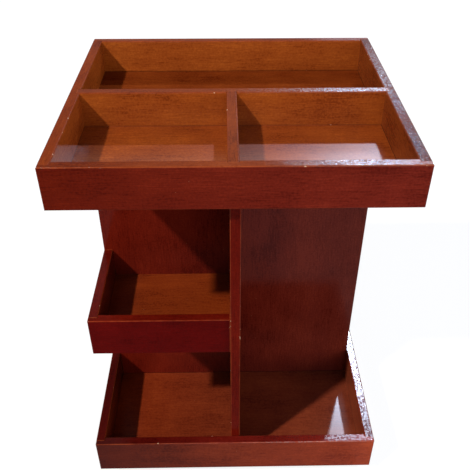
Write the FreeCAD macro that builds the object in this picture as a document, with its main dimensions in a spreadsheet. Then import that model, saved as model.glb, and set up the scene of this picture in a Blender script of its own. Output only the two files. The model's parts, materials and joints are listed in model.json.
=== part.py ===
"""Rotating organiser of lacquered wood: open trays round a cross-shaped core, on a ball turntable.

Millimetres, +Z up, front towards -Y. The origin is on the floor under the turntable's axis.
Each separate piece is one object of the document, written to parts/ under its own label.
"""
import FreeCAD, Part
import os
import re

import Sketcher

# name, value in millimetres (counts and degrees say so), meaning
SIZES = [
    ("tray_width", 300, "outside width of the top tray and the base tray"),
    ("tray_depth", 278, "outside depth of both, front to back"),
    ("board", 9.5, "thickness of the walls, dividers, panels and shelves"),
    ("top_wall", 39, "height of the top tray's boards"),
    ("top_floor", 5, "thickness of the top tray's floor"),
    ("base_wall", 45, "height of the base tray's boards"),
    ("base_floor", 6, "thickness of the base tray's floor"),
    ("core_height", 340.5, "height of the core, from base floor to top tray"),
    ("shelf_rise", 154.5, "from the base floor up to the underside of a shelf"),
    ("shelf_wall", 44.5, "height of a shelf tray's boards"),
    ("shelf_setback", 22.75, "from the top tray's front to a shelf tray's front"),
    ("divider_shift", -1.5, "short divider's place, to the right of the spine"),
    ("rabbet", 4.5, "how far one board laps into another at a corner or a floor"),
    ("housing", 3, "depth of the grooves that divider and shelf ends sit in"),
    ("joint_gap", 0.1, "play of a board in its groove"),
    ("edge_bevel", 0.8, "width of the eased edges of the boards"),
    ("tenon_length", 50, "length of the core's tenons along their panel"),
    ("tenon_place", 70, "from the axis to the middle of a tenon"),
    ("tenon_thickness", 6, "thickness of the tenons, between their shoulders"),
    ("foot_height", 5, "height of the rubber feet"),
    ("foot_radius", 9, "radius of a rubber foot under the foot board"),
    ("foot_taper", 1.5, "how much smaller that radius is at the floor"),
    ("foot_circle", 94, "from the axis to the middle of a foot"),
    ("foot_angle", 22.5, "degrees from +X to the first foot"),
    ("foot_count", 4, "number of rubber feet"),
    ("foot_board", 9, "thickness of the round foot board"),
    ("foot_board_radius", 110, "radius of the round foot board"),
    ("foot_board_bevel", 1.5, "width of the foot board's eased edges"),
    ("access_radius", 6, "radius of the screwdriver hole in the foot board"),
    ("bearing_height", 8, "height of the turntable over both plates"),
    ("plate_side", 150, "side of the turntable's square plates"),
    ("plate_corner", 6, "width of the plates' clipped corners"),
    ("plate_gauge", 1.2, "sheet thickness of the plates"),
    ("screw_side", 127, "hole to hole along one side of a plate"),
    ("race_radius", 50, "from the axis to the middle of the ball track"),
    ("race_land", 5, "flat shoulder of the plates beyond the ball track"),
    ("dish_run", 4, "radial width of the slope from shoulder to flange"),
    ("race_gap", 0.12, "play between a ball and the pressed track"),
    ("ball_diameter", 4.76, "diameter of the bearing balls"),
    ("ball_count", 8, "number of bearing balls"),
    ("cage_slot", 2.2, "space between the shoulders of the two plates"),
    ("cage_sheet", 1, "thickness of the ball cage"),
    ("cage_reach", 4.4, "half of the cage's radial width"),
    ("neck_radius", 15, "outside radius of the neck that joins the plates"),
    ("lip_reach", 3.5, "how far the rolled lip stands out from the neck"),
    ("lip_gauge", 1, "thickness of the rolled lip"),
    ("running_gap", 0.3, "clearance between turning and still metal"),
    ("head_radius", 3, "radius of the screws' pan heads"),
    ("head_height", 1.6, "height of the screws' pan heads"),
    ("shank_radius", 1.5, "radius of the screws' shanks"),
    ("shank_gap", 0.2, "play round a screw in its plate"),
    ("screw_tip", 1.5, "length of a screw's point"),
    ("base_bite", 4.8, "how far the upper plate's screws go into the base floor"),
    ("foot_bite", 6.5, "how far the lower plate's screws go into the foot board"),
]

SHEET = "Sizes"

# Levels above the floor, and places that several pieces share.
BEARING_LEVEL = "(foot_height + foot_board)"
BASE_LEVEL = "(foot_height + foot_board + bearing_height)"
CORE_LEVEL = "(%s + base_floor)" % BASE_LEVEL
SHELF_LEVEL = "(%s + shelf_rise)" % CORE_LEVEL
TOP_LEVEL = "(%s + core_height)" % CORE_LEVEL
INNER_X = "(tray_width / 2 - board)"
INNER_Y = "(tray_depth / 2 - board)"
TONGUE = "(board - rabbet)"
SHELF_FRONT = "(tray_depth / 2 - shelf_setback)"
GROOVE_END = "(board / 2 - housing)"
SLOT_HALF = "(board / 2 + joint_gap / 2)"
TRACK = "(ball_diameter / 2 + race_gap)"
SHOULDER = "(bearing_height / 2 + cage_slot / 2)"

doc = FreeCAD.newDocument("organiser")
sheet = doc.addObject("Spreadsheet::Sheet", SHEET)
names = []
for row, (name, size, meaning) in enumerate(SIZES, start=1):
    sheet.set("A%d" % row, meaning)
    sheet.set("B%d" % row, str(size))
    sheet.setAlias("B%d" % row, name)
    names.append(name)
doc.recompute()

pieces = []


def sized(text):
    """Turn an expression on the sheet's names, such as 'board / 2', into the document's form."""
    return re.sub(r"[a-z_]+", lambda word: _cell(word.group()), text)


def _cell(word):
    return "%s.%s" % (SHEET, word) if word in names else word


def value(text):
    """The number that an expression on the sheet's names stands for now."""
    return float(sheet.evalExpression(sized(text)))


# ---------------------------------------------------------------- modelling helpers

def new_piece(label, x="0", y="0", z="0", turn=0):
    """A body for one separate piece, placed by expressions and turned about +Z."""
    body = doc.addObject("PartDesign::Body", label)
    body.Label = label
    body.Placement = FreeCAD.Placement(FreeCAD.Vector(), FreeCAD.Rotation(turn, 0, 0))
    for axis, text in zip("xyz", (x, y, z)):
        body.setExpression("Placement.Base.%s" % axis, sized(text))
    pieces.append(body)
    return body


def origin_part(body, role):
    """One of the body's own origin planes or axes."""
    for feature in body.Origin.OriginFeatures:
        if feature.Role == role:
            return feature
    raise ValueError(role)


def new_sketch(body, plane="XY_Plane", level="0"):
    """A sketch on one of the body's origin planes, raised along the plane's normal."""
    sketch = body.newObject("Sketcher::SketchObject", "Sketch")
    sketch.AttachmentSupport = (origin_part(body, plane), [""])
    sketch.MapMode = "FlatFace"
    sketch.setExpression("AttachmentOffset.Base.z", sized(level))
    return sketch


def hold(sketch, kind, geometry, point, text):
    """Tie one coordinate of a point to an expression, measured from the sketch's origin."""
    rule = Sketcher.Constraint(kind, -1, 1, geometry, point, value(text))
    sketch.setExpression("Constraints[%d]" % sketch.addConstraint(rule), sized(text))


def polygon(sketch, corners):
    """A closed outline through corners, each given as two expressions."""
    points = [FreeCAD.Vector(value(x), value(y), 0) for x, y in corners]
    first = sketch.GeometryCount
    for start, end in zip(points, points[1:] + points[:1]):
        sketch.addGeometry(Part.LineSegment(start, end), False)
    for i, (x, y) in enumerate(corners):
        after = first + (i + 1) % len(corners)
        sketch.addConstraint(Sketcher.Constraint("Coincident", first + i, 2, after, 1))
        hold(sketch, "DistanceX", first + i, 1, x)
        hold(sketch, "DistanceY", first + i, 1, y)


def rectangle(sketch, left, right, low, high):
    """A closed rectangle between four expressions."""
    polygon(sketch, [(left, low), (right, low), (right, high), (left, high)])


def circle(sketch, x, y, radius):
    """A circle with its centre and radius given as expressions."""
    centre = FreeCAD.Vector(value(x), value(y), 0)
    ring = sketch.addGeometry(Part.Circle(centre, FreeCAD.Vector(0, 0, 1), value(radius)), False)
    hold(sketch, "DistanceX", ring, 3, x)
    hold(sketch, "DistanceY", ring, 3, y)
    rule = sketch.addConstraint(Sketcher.Constraint("Radius", ring, value(radius)))
    sketch.setExpression("Constraints[%d]" % rule, sized(radius))


def pad(body, sketch, height, upwards=True):
    """Raise a sketch upwards or downwards from its plane."""
    feature = body.newObject("PartDesign::Pad", "Pad")
    feature.Profile = sketch
    feature.Reversed = not upwards
    feature.setExpression("Length", sized(height))
    doc.recompute()
    return feature


def pocket(body, sketch, depth, upwards):
    """Cut a sketch out of the body, upwards or downwards from its plane."""
    before = body.Shape.Volume
    feature = body.newObject("PartDesign::Pocket", "Pocket")
    feature.Profile = sketch
    feature.Reversed = upwards
    feature.setExpression("Length", sized(depth))
    doc.recompute()
    if body.Shape.Volume >= before:
        raise RuntimeError("a cut in %s removes nothing" % body.Label)
    return feature


def revolve(body, sketch):
    """Turn a sketch on an upright plane once round its own vertical axis."""
    feature = body.newObject("PartDesign::Revolution", "Revolution")
    feature.Profile = sketch
    feature.ReferenceAxis = (sketch, ["V_Axis"])
    feature.Angle = 360
    doc.recompute()
    return feature


def ring_pattern(body, feature, count, *cuts):
    """Repeat a feature, and the cuts that shape it, evenly round the body's Z axis."""
    pattern = body.newObject("PartDesign::PolarPattern", "PolarPattern")
    pattern.Originals = [feature, *cuts]
    pattern.Axis = (origin_part(body, "Z_Axis"), [""])
    pattern.Angle = 360
    pattern.setExpression("Occurrences", sized(count))
    body.Tip = pattern
    doc.recompute()
    return pattern


def ease(body, lines, width="edge_bevel"):
    """Bevel the edges that lie on the given lines.

    Each line names two of x, y and z with the expression that the edge keeps all along it.
    """
    base = body.Tip
    wanted = [{axis: value(text) for axis, text in line.items()} for line in lines]
    chosen = []
    for number, edge in enumerate(base.Shape.Edges, start=1):
        ends = [vertex.Point for vertex in edge.Vertexes]
        if any(_along(ends, line) for line in wanted):
            chosen.append("Edge%d" % number)
    if not chosen:
        raise RuntimeError("no edge of %s lies where it is eased" % body.Label)
    feature = body.newObject("PartDesign::Chamfer", "Chamfer")
    feature.Base = (base, chosen)
    feature.setExpression("Size", sized(width))
    doc.recompute()


def _along(ends, line):
    return all(abs(getattr(end, axis) - size) < 1e-4 for axis, size in line.items() for end in ends)


# ---------------------------------------------------------------- tray boards

def end_board(label, wall, floor, level, turn, groove=None):
    """Front or back board of a tray: full width, lapped over the side boards and the floor.

    Before it is turned, its outer face is at y = 0 and its inner face towards +Y.
    """
    side = "-tray_depth / 2" if turn == 0 else "tray_depth / 2"
    body = new_piece(label, y=side, z=level, turn=turn)
    outline = [("-tray_width / 2", "0"), ("tray_width / 2", "0"), ("tray_width / 2", TONGUE),
               (INNER_X, TONGUE), (INNER_X, "board"), ("-" + INNER_X, "board"),
               ("-" + INNER_X, TONGUE), ("-tray_width / 2", TONGUE)]
    plan = new_sketch(body)
    polygon(plan, outline)
    pad(body, plan, wall)
    lap = new_sketch(body)
    rectangle(lap, "-" + INNER_X, INNER_X, TONGUE, "board")
    pocket(body, lap, floor, upwards=True)
    if groove:
        slot = new_sketch(body, level=wall)
        rectangle(slot, "%s - board / 2 - joint_gap / 2" % groove,
                  "%s + board / 2 + joint_gap / 2" % groove, "board - housing", "board")
        pocket(body, slot, "%s - %s" % (wall, floor), upwards=False)
    ease(body, [{"y": "0", "z": wall}, {"y": "0", "z": "0"}, {"y": "board", "z": wall},
                {"x": "-tray_width / 2", "y": "0"}, {"x": "tray_width / 2", "y": "0"},
                {"x": "-tray_width / 2", "z": wall}, {"x": "tray_width / 2", "z": wall}])
    return body


def side_board(label, wall, floor, level, turn, groove=False):
    """Left or right board of a tray, between the end boards' tongues, over the floor's edge.

    Before it is turned, its outer face is at x = 0 and its inner face towards +X.
    """
    side = "-tray_width / 2" if turn == 0 else "tray_width / 2"
    half = "(tray_depth / 2 - %s)" % TONGUE
    body = new_piece(label, x=side, z=level, turn=turn)
    plan = new_sketch(body)
    rectangle(plan, "0", "board", "-" + half, half)
    pad(body, plan, wall)
    lap = new_sketch(body)
    rectangle(lap, TONGUE, "board", "-" + half, half)
    pocket(body, lap, floor, upwards=True)
    if groove:
        slot = new_sketch(body, level=wall)
        rectangle(slot, "board - housing", "board",
                  "-board / 2 - joint_gap / 2", "board / 2 + joint_gap / 2")
        pocket(body, slot, "%s - %s" % (wall, floor), upwards=False)
    ease(body, [{"x": "0", "z": wall}, {"x": "0", "z": "0"}, {"x": "board", "z": wall}])
    return body


def tray_floor(label, thickness, level):
    """Floor board whose edges lie in the laps of the four walls."""
    body = new_piece(label, z=level)
    plan = new_sketch(body)
    rectangle(plan, "-(tray_width / 2 - %s)" % TONGUE, "tray_width / 2 - %s" % TONGUE,
              "-(tray_depth / 2 - %s)" % TONGUE, "tray_depth / 2 - %s" % TONGUE)
    pad(body, plan, thickness)
    return body


def floor_slots(floor, thickness, along_x, both_ends):
    """Slots through a floor for the tenons of the core's panel."""
    half_length = "(tenon_length / 2 + joint_gap / 2)"
    half_thickness = "(tenon_thickness / 2 + joint_gap / 2)"
    ends = ("-tenon_place - " + half_length, "-tenon_place + " + half_length)
    sides = ("-" + half_thickness, half_thickness)
    sketch = new_sketch(floor)
    rectangle(sketch, *(ends + sides if along_x else sides + ends))
    slot = pocket(floor, sketch, thickness, upwards=True)
    if both_ends:
        ring_pattern(floor, slot, "2")


def build_top_tray():
    """Top tray: four boards, a floor, a long divider and a short one in front of it."""
    end_board("top_front_board", "top_wall", "top_floor", TOP_LEVEL, 0, "divider_shift")
    end_board("top_back_board", "top_wall", "top_floor", TOP_LEVEL, 180)
    side_board("top_left_board", "top_wall", "top_floor", TOP_LEVEL, 0, groove=True)
    side_board("top_right_board", "top_wall", "top_floor", TOP_LEVEL, 180, groove=True)

    floor = tray_floor("top_floor_board", "top_floor", TOP_LEVEL)
    floor_slots(floor, "top_floor", along_x=True, both_ends=True)
    floor_slots(floor, "top_floor", along_x=False, both_ends=False)

    height = "top_wall - top_floor"
    level = "%s + top_floor" % TOP_LEVEL
    reach = "(%s + housing - joint_gap / 2)" % INNER_X
    divider = new_piece("long_divider", z=level)
    plan = new_sketch(divider)
    rectangle(plan, "-" + reach, reach, "-board / 2", "board / 2")
    pad(divider, plan, height)
    slot = new_sketch(divider)
    rectangle(slot, "divider_shift - " + SLOT_HALF, "divider_shift + " + SLOT_HALF,
              "-board / 2", "-" + GROOVE_END)
    pocket(divider, slot, height, upwards=True)
    ease(divider, [{"y": "-board / 2", "z": height}, {"y": "board / 2", "z": height}])

    short = new_piece("short_divider", x="divider_shift", z=level)
    plan = new_sketch(short)
    rectangle(plan, "-board / 2", "board / 2",
              "-(%s + housing - joint_gap / 2)" % INNER_Y, "-(%s + joint_gap / 2)" % GROOVE_END)
    pad(short, plan, height)
    ease(short, [{"x": "-board / 2", "z": height}, {"x": "board / 2", "z": height}])


def build_base_tray():
    """Base tray: four boards and a floor that the core's tenons pass through."""
    end_board("base_front_board", "base_wall", "base_floor", BASE_LEVEL, 0)
    end_board("base_back_board", "base_wall", "base_floor", BASE_LEVEL, 180)
    side_board("base_left_board", "base_wall", "base_floor", BASE_LEVEL, 0)
    side_board("base_right_board", "base_wall", "base_floor", BASE_LEVEL, 180)

    floor = tray_floor("base_floor_board", "base_floor", BASE_LEVEL)
    floor_slots(floor, "base_floor", along_x=True, both_ends=True)
    floor_slots(floor, "base_floor", along_x=False, both_ends=True)


# ---------------------------------------------------------------- core

def panel_tenons(panel, along_x, top_ends):
    """Tenons on a panel's lower and upper edges, flush with the floors' far faces."""
    ends = ("-tenon_place - tenon_length / 2", "-tenon_place + tenon_length / 2")
    sides = ("-tenon_thickness / 2", "tenon_thickness / 2")
    plan = ends + sides if along_x else sides + ends
    low = new_sketch(panel)
    rectangle(low, *plan)
    tenon = pad(panel, low, "base_floor - joint_gap", upwards=False)
    ring_pattern(panel, tenon, "2")
    high = new_sketch(panel, level="core_height")
    rectangle(high, *plan)
    tenon = pad(panel, high, "top_floor - joint_gap")
    if top_ends == 2:
        ring_pattern(panel, tenon, "2")


def build_core():
    """Two whole panels halved into each other, with grooves for the shelves' floors."""
    groove_height = "board + joint_gap"

    cross = new_piece("cross_panel", z=CORE_LEVEL)
    plan = new_sketch(cross)
    rectangle(plan, "-" + INNER_X, INNER_X, "-board / 2", "board / 2")
    pad(cross, plan, "core_height")
    slot = new_sketch(cross)
    rectangle(slot, "-" + SLOT_HALF, SLOT_HALF, "-board / 2", "board / 2")
    pocket(cross, slot, "core_height / 2", upwards=True)
    groove = new_sketch(cross, level="shelf_rise")
    rectangle(groove, "-%s + %s" % (INNER_X, TONGUE), "-" + SLOT_HALF,
              "-board / 2", "-" + GROOVE_END)
    ring_pattern(cross, pocket(cross, groove, groove_height, upwards=True), "2")
    ease(cross, [{"x": side + INNER_X, "y": face + "board / 2"}
                 for side in ("-", "") for face in ("-", "")])
    panel_tenons(cross, along_x=True, top_ends=2)

    spine = new_piece("spine_panel", z=CORE_LEVEL)
    plan = new_sketch(spine)
    rectangle(plan, "-board / 2", "board / 2", "-" + INNER_Y, INNER_Y)
    pad(spine, plan, "core_height")
    slot = new_sketch(spine, level="core_height")
    rectangle(slot, "-board / 2", "board / 2", "-" + SLOT_HALF, SLOT_HALF)
    pocket(spine, slot, "core_height / 2", upwards=False)
    groove = new_sketch(spine, level="shelf_rise")
    rectangle(groove, "-board / 2", "-" + GROOVE_END,
              "-(%s - %s)" % (SHELF_FRONT, TONGUE), "-" + GROOVE_END)
    ring_pattern(spine, pocket(spine, groove, groove_height, upwards=True), "2")
    ease(spine, [{"x": side + "board / 2", "y": end + INNER_Y}
                 for side in ("-", "") for end in ("-", "")])
    panel_tenons(spine, along_x=False, top_ends=1)


def build_shelf_tray(prefix, turn):
    """Shelf tray in one quarter: a front board, a side board and a floor let into the core."""
    left = "-" + INNER_X
    left_inner = left + " + board"
    front = "-" + SHELF_FRONT
    front_inner = front + " + board"
    front_lap = "%s + %s" % (front, TONGUE)
    left_lap = "%s + %s" % (left, TONGUE)
    core = "-board / 2"
    wall = "shelf_wall"

    face = new_piece(prefix + "_front_board", z=SHELF_LEVEL, turn=turn)
    plan = new_sketch(face)
    polygon(plan, [(left, front), (core, front), (core, front_inner), (left_inner, front_inner),
                   (left_inner, front_lap), (left, front_lap)])
    pad(face, plan, wall)
    lap = new_sketch(face)
    rectangle(lap, left_inner, core, front_lap, front_inner)
    pocket(face, lap, "board", upwards=True)
    ease(face, [{"y": front, "z": wall}, {"y": front, "z": "0"}, {"x": left, "y": front},
                {"x": left, "z": wall}, {"y": front_inner, "z": wall}])

    side = new_piece(prefix + "_side_board", z=SHELF_LEVEL, turn=turn)
    plan = new_sketch(side)
    rectangle(plan, left, left_inner, front_lap, core)
    pad(side, plan, wall)
    lap = new_sketch(side)
    rectangle(lap, left_lap, left_inner, front_lap, core)
    pocket(side, lap, "board", upwards=True)
    ease(side, [{"x": left, "z": wall}, {"x": left, "z": "0"}, {"x": left_inner, "z": wall}])

    floor = new_piece(prefix + "_floor_board", z=SHELF_LEVEL, turn=turn)
    plan = new_sketch(floor)
    seat = "-(%s + joint_gap / 2)" % GROOVE_END
    rectangle(plan, left_lap, seat, front_lap, seat)
    pad(floor, plan, "board")


# ---------------------------------------------------------------- turntable

def plate_section(mirrored, inner_corners):
    """Section of a pressed plate: flange, slope, shoulder and ball track, then its inner edge.

    The track has 45 degree sides that touch the circle of a ball with its play. Corners are
    (radius, height); a mirrored section is the lower plate's, measured down from the top.
    inner_corners run from the shoulder's ball side round to its outer side.
    """
    flange = "(race_radius + race_land + dish_run)"
    land = "(race_radius + race_land)"
    sides = []
    for reach, shoulder in ((TRACK, SHOULDER), (TRACK + " + plate_gauge", SHOULDER + " + plate_gauge")):
        crown = "bearing_height / 2 + " + reach
        flat = "(%s) * (sqrt(2) - 1)" % reach
        mouth = "(%s) * sqrt(2) - (%s - bearing_height / 2)" % (reach, shoulder)
        sides.append([("race_radius + " + mouth, shoulder), ("race_radius + " + flat, crown),
                      ("race_radius - " + flat, crown), ("race_radius - (%s)" % mouth, shoulder)])
    ball_side, outer_side = sides
    corners = [(flange, "bearing_height - plate_gauge"), (land, SHOULDER)] + ball_side
    corners += inner_corners + outer_side[::-1]
    corners += [(land, SHOULDER + " + plate_gauge"), (flange, "bearing_height")]
    if mirrored:
        corners = [(radius, "bearing_height - (%s)" % height) for radius, height in corners]
    return corners


def pressed_plate(label, mirrored, inner_corners):
    """One square turntable plate with its dished ring and the holes in its corners."""
    plate = new_piece(label, z=BEARING_LEVEL)
    level = "0" if mirrored else "bearing_height - plate_gauge"
    half = "plate_side / 2"
    flange = new_sketch(plate, level=level)
    rectangle(flange, "-" + half, half, "-" + half, half)
    circle(flange, "0", "0", "race_radius + race_land + dish_run")
    pad(plate, flange, "plate_gauge")
    ease(plate, [{"x": side + half, "y": end + half} for side in ("-", "") for end in ("-", "")],
         width="plate_corner")
    section = new_sketch(plate, "XZ_Plane")
    polygon(section, plate_section(mirrored, inner_corners))
    revolve(plate, section)
    corner = new_sketch(plate, level=level)
    circle(corner, "screw_side / 2", "screw_side / 2", "shank_radius + shank_gap")
    ring_pattern(plate, pocket(plate, corner, "plate_gauge", upwards=True), "4")


def build_plates():
    """Two pressed steel plates, joined by the upper one's neck rolled out under the lower."""
    lip_top = "bearing_height - %s - plate_gauge - running_gap" % SHOULDER
    lip_base = lip_top + " - lip_gauge"
    bore = "neck_radius - plate_gauge"
    lip = "neck_radius + lip_reach"
    pressed_plate("upper_plate", False, [
        ("neck_radius", SHOULDER), ("neck_radius", lip_top), (lip, lip_top), (lip, lip_base),
        (bore, lip_base), (bore, SHOULDER + " + plate_gauge")])
    rim = "neck_radius + running_gap"
    pressed_plate("lower_plate", True, [(rim, SHOULDER), (rim, SHOULDER + " + plate_gauge")])


def build_ball_ring():
    """Bearing balls, and the flat cage that keeps them apart."""
    cage = new_piece("ball_cage", z=BEARING_LEVEL + " + bearing_height / 2 - cage_sheet / 2")
    plan = new_sketch(cage)
    circle(plan, "0", "0", "race_radius + cage_reach")
    circle(plan, "0", "0", "race_radius - cage_reach")
    pad(cage, plan, "cage_sheet")
    window = new_sketch(cage)
    rectangle(window, "race_radius - " + TRACK, "race_radius + " + TRACK, "-" + TRACK, TRACK)
    ring_pattern(cage, pocket(cage, window, "cage_sheet", upwards=True), "ball_count")

    balls = new_piece("bearing_balls", z=BEARING_LEVEL + " + bearing_height / 2")
    ball, *cuts = ball_features(balls)
    ring_pattern(balls, ball, "ball_count", *cuts)


def ball_features(body):
    """One bearing ball in few flat faces: the track's own octagon from above, front and side."""
    reach = "ball_diameter / 2"
    flat = "ball_diameter / 2 * (sqrt(2) - 1)"

    def octagon(sketch, middle):
        turns = [(reach, flat), (flat, reach), ("-" + flat, reach), ("-(%s)" % reach, flat)]
        turns += [("-(%s)" % x, "-(%s)" % y) for x, y in turns]
        polygon(sketch, [("%s + %s" % (middle, x), y) for x, y in turns])

    plan = new_sketch(body, level="-" + reach)
    octagon(plan, "race_radius")
    features = [pad(body, plan, "ball_diameter")]
    for plane, middle, level in (("XZ_Plane", "race_radius", "-" + reach),
                                 ("YZ_Plane", "0", "race_radius - " + reach)):
        waste = new_sketch(body, plane, level=level)
        rectangle(waste, middle + " - ball_diameter", middle + " + ball_diameter",
                  "-ball_diameter", "ball_diameter")
        octagon(waste, middle)
        features.append(pocket(body, waste, "ball_diameter", upwards=True))
    return features


def build_foot():
    """Round foot board with its rubber feet."""
    board = new_piece("foot_board", z="foot_height")
    plan = new_sketch(board)
    circle(plan, "0", "0", "foot_board_radius")
    disc = pad(board, plan, "foot_board")
    rims = ["Edge%d" % number for number, edge in enumerate(disc.Shape.Edges, start=1)
            if edge.isClosed()]
    bevel = board.newObject("PartDesign::Chamfer", "Chamfer")
    bevel.Base = (disc, rims)
    bevel.setExpression("Size", sized("foot_board_bevel"))
    doc.recompute()
    access = new_sketch(board)
    circle(access, "screw_side / 2 * sqrt(2)", "0", "access_radius")
    pocket(board, access, "foot_board", upwards=True)

    feet = new_piece("rubber_feet")
    section = section_at(feet, "foot_circle * cos(foot_angle)", "foot_circle * sin(foot_angle)")
    polygon(section, [("0", "0"), ("foot_radius - foot_taper", "0"),
                      ("foot_radius", "foot_height"), ("0", "foot_height")])
    ring_pattern(feet, revolve(feet, section), "foot_count")


def section_at(body, x, y):
    """A sketch on the upright plane, shifted so that its vertical axis stands at x, y."""
    sketch = new_sketch(body, "XZ_Plane", level="-(%s)" % y)
    sketch.setExpression("AttachmentOffset.Base.x", sized(x))
    return sketch


def plate_screws(label, level, bite, downwards):
    """Four pan-head screws: heads against a plate's inner face, shanks in the wood beyond it."""
    screws = new_piece(label, z=level)
    head, shank = ("", "-") if downwards else ("-", "")
    reach = "(plate_gauge + %s)" % bite
    section = section_at(screws, "screw_side / 2", "screw_side / 2")
    polygon(section, [("0", head + "head_height"), ("head_radius", head + "head_height"),
                      ("head_radius", "0"), ("shank_radius", "0"),
                      ("shank_radius", "%s(%s - screw_tip)" % (shank, reach)),
                      ("0", shank + reach)])
    ring_pattern(screws, revolve(screws, section), "4")


def build_screws():
    """Screws that hold the turntable's plates to the base tray and to the foot board."""
    plate_screws("upper_plate_screws", BASE_LEVEL + " - plate_gauge", "base_bite", False)
    plate_screws("lower_plate_screws", BEARING_LEVEL + " + plate_gauge", "foot_bite", True)


# ---------------------------------------------------------------- the whole object

def check_document():
    """Stop if a feature failed or a piece has no sound shape."""
    for thing in doc.Objects:
        if "Invalid" in thing.State or "Error" in thing.State:
            raise RuntimeError("%s is %s" % (thing.Label, thing.State))
    for body in pieces:
        if body.Shape.isNull() or not body.Shape.isValid():
            raise RuntimeError("%s has no valid shape" % body.Label)


def write_parts():
    """Write each piece to its own STEP file."""
    os.makedirs("parts", exist_ok=True)
    for body in pieces:
        body.Shape.exportStep(os.path.join("parts", body.Label + ".step"))
        box = body.Shape.BoundBox
        print("%-22s %d solid(s), %.1f cm3, z %.2f to %.2f" % (
            body.Label, len(body.Shape.Solids), body.Shape.Volume / 1000, box.ZMin, box.ZMax))


build_top_tray()
build_base_tray()
build_core()
build_shelf_tray("front_shelf", 0)
build_shelf_tray("rear_shelf", 180)
build_plates()
build_ball_ring()
build_foot()
build_screws()
doc.recompute()
check_document()
write_parts()
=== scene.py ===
"""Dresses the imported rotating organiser: lacquered boards, ball turntable, screws, feet and a stage."""

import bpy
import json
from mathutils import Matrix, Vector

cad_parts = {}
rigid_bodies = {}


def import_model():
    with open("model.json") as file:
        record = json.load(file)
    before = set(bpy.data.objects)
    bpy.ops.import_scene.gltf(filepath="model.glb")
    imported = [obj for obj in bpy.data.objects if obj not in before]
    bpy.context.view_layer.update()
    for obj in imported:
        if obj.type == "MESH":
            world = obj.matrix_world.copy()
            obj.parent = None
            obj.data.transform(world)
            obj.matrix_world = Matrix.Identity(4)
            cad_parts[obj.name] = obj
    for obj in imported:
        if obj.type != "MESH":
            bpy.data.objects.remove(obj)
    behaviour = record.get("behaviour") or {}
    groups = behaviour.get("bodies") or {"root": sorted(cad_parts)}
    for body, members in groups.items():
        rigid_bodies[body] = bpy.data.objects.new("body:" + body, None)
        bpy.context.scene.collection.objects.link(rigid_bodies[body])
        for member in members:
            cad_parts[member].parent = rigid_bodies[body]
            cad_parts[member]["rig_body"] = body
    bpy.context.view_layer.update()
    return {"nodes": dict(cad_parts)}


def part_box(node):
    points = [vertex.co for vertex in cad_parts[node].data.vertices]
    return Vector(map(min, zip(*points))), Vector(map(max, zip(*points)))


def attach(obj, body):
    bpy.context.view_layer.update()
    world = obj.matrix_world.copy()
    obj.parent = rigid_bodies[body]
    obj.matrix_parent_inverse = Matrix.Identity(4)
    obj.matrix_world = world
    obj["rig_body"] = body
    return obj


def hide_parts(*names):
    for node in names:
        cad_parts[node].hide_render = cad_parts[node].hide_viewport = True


bl_info = {
    "name": "Rotating vanity organiser",
    "version": (1, 0, 0),
    "blender": (4, 5, 0),
    "location": "View3D > Sidebar > Organiser",
    "description": "Boards, ball turntable, screws, rubber feet and a plain stage round the packed frame",
    "category": "Object",
}

import json
import math

import bmesh
import bpy
from bpy.props import FloatProperty, FloatVectorProperty, IntProperty, PointerProperty
from bpy.types import Operator, Panel, PropertyGroup
from mathutils import Matrix, Vector

for leftover in list(bpy.data.objects):
    bpy.data.objects.remove(leftover)

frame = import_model()

MM = 0.001
WELD = 0.002 * MM
FLAT = math.radians(0.5)
SHARP = math.radians(50)
AXES = {"X": Vector((1, 0, 0)), "Y": Vector((0, 1, 0)), "Z": Vector((0, 0, 1))}
GRAIN_TURN = {"X": (0, 0, 0), "Y": (0, 0, -math.pi / 2), "Z": (0, math.pi / 2, 0)}

# The four walls of a tray, and the axis that each one's grain runs along.
WALLS = (("front", "X"), ("back", "X"), ("left", "Y"), ("right", "Y"))

# A face's normal has at least this much of it level to be a wall, upward to be a rim, along the grain to be
# an end, or along any axis to be dead flat.
WALL_SHARE, RIM_SHARE, END_SHARE, FLAT_SHARE = 0.6, 0.5, 0.8, 0.9995

# The marks on a board's faces: looking into the tray, on its top edge, and end grain.
MARKS = ("inside", "rim", "ends")

# A floor is given a tray's middle from this far below it, so that all of its upper face counts as rim.
FAR_BELOW = Vector((0, 0, 1))

# Where a Mix node for colours keeps its factor, its two colours and its result.
MIX_FACTOR, MIX_FIRST, MIX_SECOND, MIX_RESULT = 0, 6, 7, 2

# Tints of the lamps behind, and plain white.
COOL, WARM, WHITE = (0.66, 0.78, 1.0), (1.0, 0.36, 0.12), (1, 1, 1, 1)


def paint(red, green, blue):
    """A screen colour, 0 to 255, as the linear colour that a shader takes."""
    def linear(level):
        level /= 255
        return level / 12.92 if level <= 0.04045 else ((level + 0.055) / 1.055) ** 2.4
    return linear(red), linear(green), linear(blue)


# ---------------------------------------------------------------- settings


def colour(name, text, *levels):
    """A colour that a user can change."""
    return FloatVectorProperty(name=name, description=text, subtype="COLOR", size=3, min=0, max=1,
                               default=paint(*levels))


def length(name, text, millimetres):
    """A length that a user can change."""
    return FloatProperty(name=name, description=text, unit="LENGTH", min=0, precision=5,
                         default=millimetres * MM)


def share(name, text, value):
    """A share from 0 to 1 that a user can change."""
    return FloatProperty(name=name, description=text, subtype="FACTOR", min=0, max=1, default=value)


def bearing(name, text, radians):
    """An angle of the camera that a user can change."""
    return FloatProperty(name=name, description=text, subtype="ANGLE", default=radians)


def strength(name, text, value):
    """The strength of a lamp, which a user can change."""
    return FloatProperty(name=name, description=text, min=0, default=value)


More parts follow.
